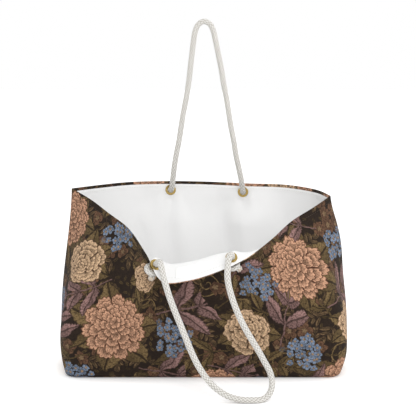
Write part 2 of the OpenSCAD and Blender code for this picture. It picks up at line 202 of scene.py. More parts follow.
class Cloth:
    """The bag's cloth as a surface: u runs along the hem from the left seam to the right one."""

    def __init__(self, side):
        self.side = side
        self.s = s = sizes()
        self.half_w = (s.cloth_w - s.base_d) / 2
        self.half_d = s.base_d / 2
        offset = s.eyelet_spacing / s.cloth_w / 2
        self.eyelet_u = (0.5 - offset, 0.5 + offset)
        self.pad = s.eyelet_od / 2 + 4 * MM
        # Radii round an eyelet inside which the cloth lies flat, and outside which it is free
        self.flat_r = (self.pad * 0.76, self.pad * 1.2)
        self.seats = [self.seat(k) for k in (LEFT, RIGHT)]

    def edge(self, u):
        """Point and outward direction on the base's edge."""
        r = self.s.base_corner_r
        side_l, arc_l = self.half_d - r, r * math.pi / 2
        half = side_l + arc_l + self.half_w - r
        d = 2 * half * np.minimum(u, 1 - u)
        a = np.clip((d - side_l) / r, 0, math.pi / 2)
        out = np.stack([-np.cos(a), -np.sin(a)], -1)
        along_side = np.minimum(d, side_l)
        along_front = np.maximum(d - side_l - arc_l, 0)
        x = r - self.half_w + r * out[..., 0] + along_front
        y = -along_side + r * out[..., 1]
        mirror = np.where(u <= 0.5, 1.0, -1.0)
        point = np.stack([x * mirror, -self.side * y, np.zeros_like(x)], -1)
        return point, np.stack([out[..., 0] * mirror, -self.side * out[..., 1], np.zeros_like(x)], -1)

    def hem(self, u):
        s = self.s
        if self.side == FRONT:
            k = curve_through(FRONT_HEM, u)
            z = s.lip_h + (s.corner_h - s.lip_h) * k[..., 2]
            return np.stack([k[..., 0] * s.mouth_w / 2, -k[..., 1] * s.front_reach, z], -1)
        k = curve_through(BACK_RIM, u)
        return np.stack([k[..., 0] * s.mouth_w / 2, k[..., 1] * s.back_reach, k[..., 2] * s.corner_h], -1)

    def wall(self, u, turned_down=False):
        """The four control points of the wall's curve at u; turned_down is for the eyelets' seats."""
        s = self.s
        foot, out = self.edge(u)
        foot = foot + np.array([0, 0, s.base_edge_r])
        top = self.hem(u)
        fold = np.zeros_like(u)
        if self.side == FRONT:
            fold = smooth((u - FOLD_ON[0]) / (FOLD_ON[1] - FOLD_ON[0]))
            fold = fold * smooth((FOLD_OFF[1] - u) / (FOLD_OFF[1] - FOLD_OFF[0]))
            fold = np.ones_like(u) if turned_down else fold
        upright = top + (foot - top) / 3
        turned = top + np.array([0, s.fold_back, s.fold_rise])
        rise = np.stack([np.zeros_like(u), np.zeros_like(u), top[..., 2] / 3], -1)
        return foot, foot + out * s.belly + rise, upright + (turned - upright) * fold[..., None], top

    @staticmethod
    def along(w, t):
        t = t[..., None]
        return w[0] * (1 - t) ** 3 + 3 * w[1] * t * (1 - t) ** 2 + 3 * w[2] * t * t * (1 - t) + w[3] * t ** 3

    def below_hem(self, w, d):
        """Share of the wall's curve that lies a distance d below the hem."""
        t = 1 - d / (3 * np.linalg.norm(w[3] - w[2], axis=-1))
        for _ in range(3):
            t = 1 - (1 - t) * d / np.linalg.norm(w[3] - self.along(w, t), axis=-1)
        return t

    def seat(self, k):
        """Centre of an eyelet on the outer face and the outward direction there."""
        u = np.array([self.eyelet_u[k]])
        w = self.wall(u, True)
        t = self.below_hem(w, self.s.eyelet_inset)
        du = self.pad / self.s.cloth_w / 2
        dt = 1 - self.below_hem(w, self.pad / 2)
        across = self.along(self.wall(u + du, True), t) - self.along(self.wall(u - du, True), t)
        up = self.along(w, t + dt) - self.along(w, t - dt)
        return self.along(w, t)[0], -self.side * unit(np.cross(across, up))[0]

    def flatness(self, u, d):
        """How flat the cloth lies for each eyelet, from 0 to 1."""
        weights = []
        for k in (LEFT, RIGHT):
            r = np.hypot((u - self.eyelet_u[k]) * self.s.cloth_w, d - self.s.eyelet_inset)
            weights.append(1 - smooth((r - self.flat_r[0]) / (self.flat_r[1] - self.flat_r[0])))
        return weights

    def net(self, u, base_rows, wall_rows):
        """Points of the outer face, the distance of each from the hem, and its place on the flat cloth."""
        s = self.s
        w = tuple(p[:, None, :] for p in self.wall(u))
        fine = np.linspace(0, 1, 240)[None, :] * np.ones((len(u), 1))
        curve = self.along(w, fine)
        step = np.linalg.norm(np.diff(curve, axis=1), axis=-1)
        arc = np.concatenate([np.zeros((len(u), 1)), np.cumsum(step, axis=1)], 1)
        total = arc[:, -1:]
        # Rows crowd a little towards the hem
        share = np.linspace(0, 1, wall_rows)
        share = share + 0.12 * np.sin(math.pi * share) * share
        t = np.stack([np.interp(share * total[i, 0], arc[i], fine[i]) for i in range(len(u))])
        p = self.along(w, t)
        d = np.linalg.norm(w[3] - p, axis=-1)
        uu = u[:, None] * np.ones_like(d)
        flat = self.flatness(uu, d)
        for k in (LEFT, RIGHT):
            centre, out = self.seats[k]
            off = (p - centre) @ out
            p = p - out * (off * flat[k])[..., None]
        p = p + self.folds(uu, total - share * total, p, np.maximum(*flat))
        point, out = self.edge(u)
        middle = np.stack([(2 * u - 1) * (self.half_w - 2 * s.base_edge_r), 0 * u, 0 * u], -1)
        inner = point - out * s.base_edge_r
        base = [middle[:, None] + (inner - middle)[:, None] * k for k in np.linspace(0, 1, base_rows)]
        for a in (30, 60):
            a = math.radians(a)
            rise = np.array([0, 0, s.base_edge_r * (1 - math.cos(a))])
            ring = inner + out * s.base_edge_r * math.sin(a) + rise
            base.append(ring[:, None])
        base = np.concatenate(base, 1)
        points = np.concatenate([base, p], 1)
        n_base = base.shape[1]
        flat_v = np.concatenate([
            np.linspace(0, self.half_d, n_base)[None, :] * np.ones((len(u), 1)),
            self.half_d + s.base_edge_r / 2 + share * total,
        ], 1)
        across = u if self.side == FRONT else 1 - u
        flat_u = across[:, None] * s.cloth_w * np.ones_like(flat_v)
        from_hem = np.concatenate([np.full(base.shape[:2], 1.0), total - share * total], 1)
        return points, from_hem, np.stack([flat_u, flat_v], -1)

    def folds(self, u, d, p, flat):
        """Soft folds of the cloth, as moves of its points."""
        x, z = p[..., 0], p[..., 2]
        out = np.zeros_like(p)
        free = (1 - flat) * smooth(z / 0.05) * smooth(np.minimum(u, 1 - u) / 0.04)
        if self.side == BACK:
            drop = 0.3 - z
            ridge = 12.0 * hump(x - 0.030 - 0.10 * drop, 0.030)
            ridge = ridge - 10.0 * hump(x - 0.098 - 0.25 * drop, 0.026)
            ridge = ridge + 6.0 * hump(x + 0.105 + 0.06 * drop, 0.028)
            ridge = ridge + 3.0 * hump(x + 0.150 - 0.5 * drop, 0.018)
            ridge = ridge * smooth((0.31 - z) / 0.08)
            pull = 0
            for k in (LEFT, RIGHT):
                under = 0.289 - z
                spread = 0.010 + 0.12 * np.maximum(under, 0)
                off = (x - self.seats[k][0][0]) / spread
                below = smooth(under / 0.02) * np.exp(-np.maximum(under, 0) / 0.05)
                pull = pull + 3.6 * below * np.cos(off * 2.2) * hump(off, 1.6)
            out[..., 1] = (ridge + pull) * MM * free
        else:
            wave = 2.2 * np.sin(x * 21 + 1.1) * np.sin(z * 11 + 0.4) + 1.3 * np.sin(x * 47 + z * 19 + 2.0)
            wave = wave + 3.0 * hump(x + 0.165 - 0.12 * z, 0.02) * smooth((z - 0.05) / 0.1)
            crease = 4.0 * hump(x - 0.215 + 0.25 * (z - 0.23), 0.016) * hump(z - 0.225, 0.05)
            out[..., 1] = (wave * smooth(d / 0.05) - crease) * MM * free
        # The right side stands out a little more than the left
        swell = (5 + 6 * hump(z - 0.222, 0.045)) * smooth(z / 0.04)
        swell = swell * (1 - 0.5 * smooth((z - 0.25) / 0.05))
        out[..., 0] = swell * MM * smooth((u - 0.78) / 0.22)
        return out

    def normals(self, points):
        """Outward directions at the points of a net."""
        across = np.gradient(points, axis=0)
        up = np.gradient(points, axis=1)
        n = -self.side * unit(np.cross(across, up))
        n[:, 0] = (0, 0, -1)
        return n

    def kept_aside(self, p):
        """Points kept on the cloth's own side of the seams."""
        p = p.copy()
        p[..., 1] = self.side * np.maximum(0, self.side * p[..., 1])
        return p


# Meshes
def new_object(name, points, faces, uv=None, material=None):
    mesh = bpy.data.meshes.new(name)
    mesh.from_pydata(np.asarray(points).reshape(-1, 3).tolist(), [], faces)
    if uv is not None:
        layer = mesh.uv_layers.new(name="cloth")
        corner = np.empty(len(mesh.loops), np.int32)
        mesh.loops.foreach_get("vertex_index", corner)
        layer.data.foreach_set("uv", np.asarray(uv, np.float32).reshape(-1, 2)[corner].ravel())
    mesh.polygons.foreach_set("use_smooth", [True] * len(mesh.polygons))
    obj = bpy.data.objects.new(name, mesh)
    bpy.context.scene.collection.objects.link(obj)
    if material:
        mesh.materials.append(material)
    return obj


def closed_sheet(name, outer, inner, rim, uv, side, material):
    """A sheet from an outer and an inner net, with rows of rim points between them at the hem."""
    loops = np.concatenate([outer, rim, inner[:, ::-1]], 1)
    n, m = loops.shape[:2]
    loop_uv = np.concatenate([uv, np.repeat(uv[:, -1:], rim.shape[1], 1), uv[:, ::-1]], 1)
    faces = []
    for i in range(n - 1):
        for j in range(m):
            k = (j + 1) % m
            faces.append((i * m + j, (i + 1) * m + j, (i + 1) * m + k, i * m + k))
    last = (n - 1) * m
    for j in range(m // 2 - (0 if m % 2 else 1)):
        k = m - 1 - j
        faces.append((j, j + 1, k - 1, k) if k - 1 > j + 1 else (j, j + 1, k))
        if k - 1 > j + 1:
            faces.append((last + j, last + k, last + k - 1, last + j + 1))
        else:
            faces.append((last + j, last + k, last + j + 1))
    if side == BACK:
        faces = [f[::-1] for f in faces]
    return new_object(name, loops, faces, loop_uv, material)


def plain_mesh(obj, name):
    """The evaluated object as a new plain mesh object; the old one is removed."""
    shown = obj.evaluated_get(bpy.context.evaluated_depsgraph_get())
    mesh = bpy.data.meshes.new_from_object(shown)
    mesh.name = name
    bpy.data.objects.remove(obj)
    made = bpy.data.objects.new(name, mesh)
    bpy.context.scene.collection.objects.link(made)
    return made


def path_object(name, points):
    """A mesh of one open chain of edges, for a tree to follow."""
    mesh = bpy.data.meshes.new(name)
    mesh.from_pydata([tuple(p) for p in points], [(i, i + 1) for i in range(len(points) - 1)], [])
    obj = bpy.data.objects.new(name, mesh)
    bpy.context.scene.collection.objects.link(obj)
    return obj


def smooth_path(points, step):
    """A finer path through the points, at even steps of its length."""
    dense = curve_through(np.asarray(points), np.linspace(0, 1, len(points) * 24))
    arc = np.concatenate([[0], np.cumsum(np.linalg.norm(np.diff(dense, axis=0), axis=1))])
    at = np.linspace(0, arc[-1], int(arc[-1] / step) + 1)
    return np.stack([np.interp(at, arc, dense[:, k]) for k in range(3)], -1)


# Trees of Geometry Nodes
class Tree:
    """A node tree with short calls for its nodes and links."""

    def __init__(self, tree):
        self.tree = tree
        self.x = 0

    def add(self, kind, inputs=None, **settings):
        node = self.tree.nodes.new(kind)
        node.location = (self.x, 0)
        self.x += 30
        for key, value in settings.items():
            setattr(node, key, value)
        for key, value in (inputs or {}).items():
            self.put(node.inputs[key], value)
        return node

    def put(self, socket, value):
        if isinstance(value, bpy.types.NodeSocket):
            self.tree.links.new(value, socket)
        else:
            socket.default_value = value

    def math(self, operation, *values):
        node = self.add("ShaderNodeMath", operation=operation)
        for socket, value in zip(node.inputs, values):
            self.put(socket, value)
        return node.outputs[0]


def geometry_tree(name, wanted):
    """A new tree that takes and gives geometry, with the named inputs wanted as (name, kind)."""
    group = bpy.data.node_groups.new(name, "GeometryNodeTree")
    group.interface.new_socket("Geometry", in_out="INPUT", socket_type="NodeSocketGeometry")
    for label, kind in wanted:
        group.interface.new_socket(label, in_out="INPUT", socket_type=kind)
    group.interface.new_socket("Geometry", in_out="OUTPUT", socket_type="NodeSocketGeometry")
    tree = Tree(group)
    start = tree.add("NodeGroupInput")
    return group, tree, start


def run_tree(obj, group, values, name):
    """The mesh that a tree makes from an object, with its inputs set by identifier."""
    modifier = obj.modifiers.new(group.name, "NODES")
    modifier.node_group = group
    for item in group.interface.items_tree:
        if item.item_type == "SOCKET" and item.in_out == "INPUT" and item.name in values:
            modifier[item.identifier] = values[item.name]
    return plain_mesh(obj, name)


def finish_tree(tree, geometry, material):
    realized = tree.add("GeometryNodeRealizeInstances", {"Geometry": geometry})
    painted = tree.add("GeometryNodeSetMaterial", {"Geometry": realized.outputs[0], "Material": material})
    end = tree.add("NodeGroupOutput")
    tree.tree.links.new(painted.outputs[0], end.inputs[0])


def braid_tree():
    """A braided rope along a path: two families of strands that pass over and under each other."""
    group, t, start = geometry_tree("Braided rope", [
        ("Diameter", "NodeSocketFloat"), ("Strands", "NodeSocketInt"), ("Pitch", "NodeSocketFloat"),
        ("Relief", "NodeSocketFloat"), ("Step", "NodeSocketFloat"), ("Material", "NodeSocketMaterial"),
    ])
    given = start.outputs
    line = t.add("GeometryNodeMeshToCurve", {"Mesh": given["Geometry"]})
    even = t.add(
        "GeometryNodeResampleCurve", {"Curve": line.outputs[0], "Length": given["Step"]}, mode="LENGTH"
    )
    place = t.add("GeometryNodeSplineParameter")
    rail = t.add("GeometryNodeCaptureAttribute", {"Geometry": even.outputs[0]})
    rail.capture_items.new("FLOAT", "along")
    t.put(rail.inputs["along"], place.outputs["Length"])
    core = t.math("SUBTRACT", t.math("DIVIDE", given["Diameter"], 2.0), given["Relief"])
    ring = t.add("GeometryNodeCurvePrimitiveCircle", {"Resolution": 40, "Radius": core})
    profile = t.add("GeometryNodeCaptureAttribute", {"Geometry": ring.outputs[0]})
    profile.capture_items.new("FLOAT", "around")
    t.put(profile.inputs["around"], place.outputs["Factor"])
    tube = t.add("GeometryNodeCurveToMesh", {
        "Curve": rail.outputs[0], "Profile Curve": profile.outputs[0], "Fill Caps": True,
    })
    turn = t.math("MULTIPLY", profile.outputs["around"], given["Strands"])
    run = t.math("DIVIDE", rail.outputs["along"], given["Pitch"])
    right, left = t.math("ADD", turn, run), t.math("SUBTRACT", turn, run)
    over = t.math("MODULO", t.math("ADD", t.math("FLOOR", right), t.math("FLOOR", left)), 2.0)
    over = t.math("ABSOLUTE", over)
    heights = []
    for phase, lift in ((right, over), (left, t.math("SUBTRACT", 1.0, over))):
        round_strand = t.math("SQRT", t.math("ABSOLUTE", t.math("SINE", t.math("MULTIPLY", phase, math.pi))))
        heights.append(t.math("MULTIPLY", round_strand, t.math("MULTIPLY_ADD", lift, 0.5, 0.5)))
    height = t.math("MAXIMUM", *heights)
    normal = t.add("GeometryNodeInputNormal")
    push = t.add("ShaderNodeVectorMath", operation="SCALE")
    t.put(push.inputs[0], normal.outputs[0])
    t.put(push.inputs["Scale"], t.math("MULTIPLY", height, given["Relief"]))
    # The strands' height is kept as "strand"; the rope's material paints shade into the grooves where it is
    # low.
    kept = t.add("GeometryNodeStoreNamedAttribute", {
        "Geometry": tube.outputs[0], "Name": "strand", "Value": height,
    }, data_type="FLOAT", domain="POINT")
    raised = t.add("GeometryNodeSetPosition", {"Geometry": kept.outputs[0], "Offset": push.outputs[0]})
    soft = t.add("GeometryNodeSetShadeSmooth", {"Geometry": raised.outputs[0], "Shade Smooth": True})
    finish_tree(t, soft.outputs[0], given["Material"])
    return group


def stitch_tree():
    """A row of stitches along a path."""
    group, t, start = geometry_tree("Stitches", [
        ("Length", "NodeSocketFloat"), ("Spacing", "NodeSocketFloat"), ("Thickness", "NodeSocketFloat"),
        ("Material", "NodeSocketMaterial"),
    ])
    given = start.outputs
    line = t.add("GeometryNodeMeshToCurve", {"Mesh": given["Geometry"]})
    points = t.add(
        "GeometryNodeCurveToPoints", {"Curve": line.outputs[0], "Length": given["Spacing"]}, mode="LENGTH"
    )
    turn = t.add("FunctionNodeAlignRotationToVector", {"Vector": points.outputs["Tangent"]}, axis="Z")
    bead = t.add("GeometryNodeMeshUVSphere", {"Segments": 8, "Rings": 6, "Radius": 0.5})
    size = t.add("ShaderNodeCombineXYZ", {0: given["Thickness"], 1: given["Thickness"], 2: given["Length"]})
    laid = t.add("GeometryNodeInstanceOnPoints", {
        "Points": points.outputs[0], "Instance": bead.outputs[0],
        "Rotation": turn.outputs[0], "Scale": size.outputs[0],
    })
    finish_tree(t, laid.outputs[0], given["Material"])
    return group


# Materials
def new_material(name):
    material = bpy.data.materials.new(name)
    material.use_nodes = True
    material.node_tree.nodes.clear()
    tree = Tree(material.node_tree)
    shader = tree.add("ShaderNodeBsdfPrincipled")
    end = tree.add("ShaderNodeOutputMaterial")
    tree.tree.links.new(shader.outputs[0], end.inputs[0])
    return material, tree, shader


def rgba(colour):
    return (*colour, 1.0)


def mixed(t, factor, a, b, blend_type="MIX"):
    node = t.add("ShaderNodeMix", data_type="RGBA", blend_type=blend_type)
    t.put(node.inputs[0], factor)
    t.put(node.inputs[6], a)
    t.put(node.inputs[7], b)
    return node.outputs[2]


def noise(t, vector, scale, detail=2.0):
    node = t.add("ShaderNodeTexNoise", {"Vector": vector, "Scale": scale, "Detail": detail})
    return node.outputs["Fac"]


def weave_bump(t, uv, thread, strength, distance):
    """Bump of a plain weave with threads of the given width, in metres of cloth."""
    cells = t.add("ShaderNodeSeparateXYZ", {0: uv}).outputs
    warp = t.math("SINE", t.math("MULTIPLY", cells[0], math.pi / thread))
    weft = t.math("SINE", t.math("MULTIPLY", cells[1], math.pi / thread))
    height = t.math("MULTIPLY", warp, weft)
    bump = t.add("ShaderNodeBump", {"Height": height, "Strength": strength, "Distance": distance})
    return bump.outputs[0], height


# The print, drawn by nodes on the flat cloth's coordinates
class Value:
    """A number in a node tree, so that sums read as sums."""

    def __init__(self, tree, socket):
        self.tree = tree
        self.socket = socket

    def apply(self, operation, *others):
        plain = [v.socket if isinstance(v, Value) else v for v in others]
        return Value(self.tree, self.tree.math(operation, *plain))

    def __add__(self, other):
        return self.apply("ADD", self, other)

    def __sub__(self, other):
        return self.apply("SUBTRACT", self, other)

    def __rsub__(self, other):
        return self.apply("SUBTRACT", other, self)

    def __mul__(self, other):
        return self.apply("MULTIPLY", self, other)

    def __truediv__(self, other):
        return self.apply("DIVIDE", self, other)

    def __pow__(self, other):
        return self.apply("POWER", self, other)

    def __abs__(self):
        return self.apply("ABSOLUTE", self)

    def times_plus(self, factor, rest):
        return self.apply("MULTIPLY_ADD", self, factor, rest)

    def sin(self):
        return self.apply("SINE", self)

    def floor(self):
        return self.apply("FLOOR", self)

    def fraction(self):
        return self.apply("FRACT", self)

    def over(self, other):
        return self.apply("GREATER_THAN", self, other)

    def most(self, other):
        return self.apply("MAXIMUM", self, other)

    def least(self, other):
        return self.apply("MINIMUM", self, other)

    def angle_to(self, x):
        return self.apply("ARCTAN2", self, x)

    def length_with(self, y):
        return self.apply("SQRT", self.times_plus(self, y * y))

    def ramp(self, low, high):
        """Smooth step from 0 at low to 1 at high."""
        node = self.tree.add("ShaderNodeMapRange", interpolation_type="SMOOTHSTEP")
        for socket, value in zip(node.inputs, (self, low, high)):
            self.tree.put(socket, value.socket if isinstance(value, Value) else value)
        return Value(self.tree, node.outputs[0])

    def between(self, other, share):
        """This number where share is 0, and the other where it is 1."""
        values = {0: share.socket, 2: self.socket, 3: other.socket}
        node = self.tree.add("ShaderNodeMix", values, data_type="FLOAT")
        return Value(self.tree, node.outputs[0])


class Motif:
    """One layer of the print as a node group that paints over what lies under it."""

    def __init__(self, name):
        self.group = bpy.data.node_groups.new(name, "ShaderNodeTree")
        face = self.group.interface
        face.new_socket("Cloth", in_out="INPUT", socket_type="NodeSocketVector")
        for label in ("X", "Y"):
            face.new_socket(label, in_out="INPUT", socket_type="NodeSocketFloat")
        for label in ("Under", "Light", "Dark", "Line", "Heart"):
            face.new_socket(label, in_out="INPUT", socket_type="NodeSocketColor")
        face.new_socket("Colour", in_out="OUTPUT", socket_type="NodeSocketColor")
        self.t = Tree(self.group)
        given = self.t.add("NodeGroupInput").outputs
        self.cloth = given["Cloth"]
        self.x, self.y = Value(self.t, given["X"]), Value(self.t, given["Y"])
        self.colour = given["Under"]
        self.light, self.dark, self.line, self.heart = (given[k] for k in ("Light", "Dark", "Line", "Heart"))

    def done(self):
        end = self.t.add("NodeGroupOutput")
        self.group.links.new(self.colour, end.inputs[0])
        return self.group

    def paint(self, mask, colour):
        self.colour = mixed(self.t, mask.socket, self.colour, colour)

    def tone(self, share):
        return mixed(self.t, share.socket, self.dark, self.light)

    def inked(self, colour, share):
        return mixed(self.t, share.socket, colour, self.line)

    def nearest(self, x, y, places):
        """Coordinates about the nearest of some places (x, y, size, turn), in units of its size."""
        best = None
        for cx, cy, size, turn in places:
            c, s = math.cos(math.radians(turn)) / size, math.sin(math.radians(turn)) / size
            lx = x.times_plus(c, y.times_plus(s, -cx * c - cy * s))
            ly = y.times_plus(c, x.times_plus(-s, cx * s - cy * c))
            reach = lx.times_plus(lx, ly * ly)
            if best is None:
                best, least = (lx, ly), reach
                continue
            closer = least.over(reach)
            best = (best[0].between(lx, closer), best[1].between(ly, closer))
            least = least.least(reach)
        return best

    def cells(self, size, randomness):
        """The cloth's points by cell: place of the cell, coordinates about it and two random numbers."""
        values = {"Vector": self.cloth, "Scale": 1 / size, "Randomness": randomness}
        node = self.t.add("ShaderNodeTexVoronoi", values, voronoi_dimensions="2D")
        split = self.t.add("ShaderNodeSeparateXYZ", {0: node.outputs["Position"]})
        place = [Value(self.t, k) for k in split.outputs]
        here = [Value(self.t, k) for k in self.t.add("ShaderNodeSeparateXYZ", {0: self.cloth}).outputs]
        split = self.t.add("ShaderNodeSeparateColor", {0: node.outputs["Color"]})
        chance = [Value(self.t, k) for k in split.outputs]
        local = [(a - b) / size for a, b in zip(here[:2], place[:2])]
        return place[:2], local, chance[0], chance[1]

    def flower(self, places, rings):
        """A full flower of several rings of petals, from the outermost to the heart."""
        x, y = self.nearest(self.x, self.y, places)
        for k, (radius, count, turn, depth, east, north) in enumerate(rings):
            inner = rings[k + 1][0] if k + 1 < len(rings) else 0
            dx, dy = x - east, y - north
            reach, angle = dx.length_with(dy), dy.angle_to(dx)
            lobe = abs(angle.times_plus(count / 2, turn).sin())
            frill = abs(angle.times_plus(count * 2, turn * 3).sin())
            edge = (lobe ** 0.55).times_plus(depth, frill.times_plus(0.06, 0.94 - depth)) * radius
            share = reach / edge
            hatch = abs(angle.times_plus(count * 4.5, share * 3).sin()).ramp(0.0, 0.55)
            colour = self.tone((share.ramp(inner / radius * 0.8, 1.0) ** 1.5).times_plus(0.74, hatch * 0.26))
            ink = share.ramp(0.92, 0.985).most(lobe.ramp(0.26, 0.06) * share.ramp(0.2, 0.6))
            self.paint(share.ramp(1.0, 0.975), self.inked(colour, ink))
        return self.done()

    def strewn(self, size, grown):
        """Coordinates about places strewn over the cloth, turned at random."""
        place, (a, b), chance, other = self.cells(size, 0.8)
        turn = chance * 25
        s, c = turn.sin(), (turn + math.pi / 2).sin()
        return a.times_plus(c, b * s) * (1 / grown) + 0.55, b.times_plus(c, 0 - a * s) * (1 / grown)

    def spray(self, at, pitch, reach):
        """Stems with pairs of veined leaves and a leaf at the tip."""
        x, y = at
        side = abs(y)
        cell = (x - side * 0.8) / pitch
        along = (cell.floor() + 0.5) * pitch
        across = cell.fraction() - 0.5
        share = side / ((1.12 - along) * reach)
        teeth = abs((share * 30).sin()).times_plus(0.06, -0.03)
        width = (share ** 0.75 * math.pi).sin().times_plus(0.44, teeth)
        inset = width - abs(across)
        leaf = inset.ramp(0.0, 0.05) * along.ramp(-0.001, 0.0)
        leaf = leaf * along.ramp(1.001, 1.0) * share.ramp(1.0, 0.99)
        tip = (x - 0.86) / 0.52
        tip_inset = (tip ** 0.8 * math.pi).sin().times_plus(0.17, abs((tip * 22).sin()) * 0.014) - side
        tip_leaf = tip_inset.ramp(0.0, 0.012) * tip.ramp(0.0, 0.05) * tip.ramp(1.0, 0.95)
        at_tip = tip_leaf.over(0.5)
        veins = abs((share * 20 - abs(across) * 16).sin()).between(abs((tip * 22 - side * 60).sin()), at_tip)
        rib = abs(across).ramp(0.07, 0.02).between(side.ramp(0.016, 0.008), at_tip)
        half = across.ramp(-0.1, 0.25).between(y.ramp(-0.06, 0.06), at_tip)
        rim = inset.ramp(0.11, 0.03).between(tip_inset.ramp(0.03, 0.012), at_tip)
        ink = (veins.ramp(0.3, 0.0) * 0.55).most(rib * 0.7).most(rim * 0.85)
        self.paint(side.ramp(0.016, 0.01) * x.ramp(-0.22, -0.2) * x.ramp(1.0, 0.95), self.dark)
        self.paint(leaf.most(tip_leaf), self.inked(self.tone(half.times_plus(0.6, share * 0.4)), ink))
        return self.done()

    def rosette(self, places, count):
        """Broad leaves all round each flower."""
        x, y = self.nearest(self.x, self.y, places)
        reach, angle = x.length_with(y), y.angle_to(x)
        turn = angle * (count / (2 * math.pi))
        lift = abs((turn.floor() * 2.4).sin()).times_plus(0.22, 0.78)
        share = reach / lift
        width = ((share - 0.2) * (math.pi / 0.8)).sin().times_plus(0.26, abs((share * 34).sin()) * 0.025)
        off = (turn.fraction() - 0.5) * reach * (2 * math.pi / count)
        inset = width - abs(off)
        veins = abs((share * 24 - abs(off) * 30).sin()).ramp(0.3, 0.0) * 0.5
        ink = veins.most(abs(off).ramp(0.03, 0.012) * 0.8).most(inset.ramp(0.05, 0.015) * 0.8)
        colour = self.tone(off.ramp(-0.12, 0.15).times_plus(0.7, share * 0.3))
        self.paint(inset.ramp(0.0, 0.02) * share.ramp(1.0, 0.98), self.inked(colour, ink))
        return self.done()

    def small_flowers(self, places, size, amount):
        """Clusters of small flowers with five petals."""
        place, (x, y), chance, other = self.cells(size, 0.7)
        spot = self.nearest(*place, places)
        reach = spot[0].length_with(spot[1])
        here = other.times_plus(0.35, reach).ramp(1.02, 1.0) * chance.ramp(amount, amount - 0.01)
        r, angle = x.length_with(y), y.angle_to(x)
        lobe = abs(angle.times_plus(2.5, chance * 6).sin())
        share = r / ((lobe ** 0.6).times_plus(0.29, 0.34) * other.times_plus(0.35, 0.85))
        ink = share.ramp(0.82, 0.97).most(lobe.ramp(0.3, 0.1) * 0.7)
        colour = self.inked(self.tone(share.times_plus(0.55, chance.times_plus(0.55, -0.1))), ink * 0.8)
        colour = mixed(self.t, share.ramp(0.34, 0.24).socket, colour, self.heart)
        self.paint(share.ramp(1.0, 0.95) * here, colour)
        return self.done()

    def flecks(self, size, amount):
        """Small leaves strewn over the ground."""
        place, (a, b), chance, other = self.cells(size, 0.9)
        turn = chance * 25
        s, c = turn.sin(), (turn + math.pi / 2).sin()
        x, y = a.times_plus(c, b * s), b.times_plus(c, 0 - a * s)
        leaf = (((x + 0.5) * math.pi).sin() * 0.2 - abs(y)).ramp(0.0, 0.04) * abs(x).ramp(0.5, 0.48)
        colour = self.inked(self.tone(chance), abs(y).ramp(0.05, 0.02) * 0.8)
        self.paint(leaf * other.ramp(amount, amount - 0.01), colour)
        return self.done()

    def scrolls(self, places):
        """Curled tendrils."""
        x, y = self.nearest(self.x, self.y, places)
        reach, angle = x.length_with(y), y.angle_to(x)
        turn = angle.times_plus(1 / (2 * math.pi), reach * 1.9).fraction()
        line = abs(turn - 0.5).ramp(0.115, 0.075) * reach.ramp(1.0, 0.97) * reach.ramp(0.06, 0.1)
        self.paint(line, self.tone(turn.ramp(0.42, 0.55)))
        return self.done()


# Places of the motifs on the flat cloth: x, y and size in metres, turn in degrees
PEACH_PLACES = [(0.150, 0.162, 0.060, 10), (0.492, 0.262, 0.058, 80), (0.300, 0.318, 0.056, 30),
                (0.555, 0.060, 0.050, 0), (0.010, 0.330, 0.050, 0), (0.325, 0.040, 0.050, 60),
                (0.235, 0.400, 0.048, 40), (0.420, 0.404, 0.044, 100), (0.105, 0.402, 0.044, 10)]
CREAM_PLACES = [(0.385, 0.152, 0.043, 0), (0.075, 0.268, 0.041, 140), (0.572, 0.158, 0.036, 60),
                (0.205, 0.255, 0.028, 200), (0.020, 0.095, 0.034, 15), (0.415, 0.345, 0.036, 90),
                (0.160, 0.365, 0.036, 90), (0.200, 0.030, 0.036, 0)]
BLUE_PLACES = [(0.258, 0.142, 0.039, 0), (0.412, 0.240, 0.037, 0), (0.018, 0.190, 0.036, 0),
               (0.478, 0.115, 0.036, 0), (0.132, 0.318, 0.034, 0), (0.585, 0.292, 0.034, 0),
               (0.230, 0.350, 0.031, 0), (0.085, 0.070, 0.034, 0), (0.420, 0.040, 0.034, 0)]
MAUVE_PLACES = [(0.250, 0.190, 0.108, 12), (0.445, 0.150, 0.102, 72), (0.118, 0.235, 0.084, 205),
                (0.545, 0.200, 0.090, 25), (0.215, 0.085, 0.096, -10), (0.365, 0.250, 0.090, 60),
                (0.045, 0.125, 0.078, 80), (0.535, 0.330, 0.078, 170), (0.480, 0.040, 0.084, 20),
                (0.330, 0.090, 0.084, -15)]
OLIVE_PLACES = [(0.335, 0.118, 0.085, 190), (0.090, 0.108, 0.080, 195), (0.250, 0.225, 0.085, 115),
                (0.425, 0.185, 0.080, 160), (0.530, 0.180, 0.080, 110), (0.030, 0.235, 0.080, 80),
                (0.430, 0.280, 0.070, 130), (0.350, 0.205, 0.080, 30), (0.185, 0.290, 0.070, 100),
                (0.400, 0.100, 0.075, -10), (0.130, 0.030, 0.070, 30), (0.600, 0.095, 0.070, 110),
                (0.190, 0.195, 0.060, 60)]
SCROLL_PLACES = [(0.325, 0.240, 0.024, 0), (0.205, 0.200, 0.022, 90), (0.440, 0.098, 0.024, 40),
                 (0.540, 0.110, 0.022, 120), (0.085, 0.205, 0.021, 200), (0.590, 0.215, 0.022, 20),
                 (0.030, 0.290, 0.022, 80), (0.370, 0.095, 0.020, 10), (0.250, 0.280, 0.020, 60)]
STREWN = [(0.305, 0.2, 1.0, 0)]
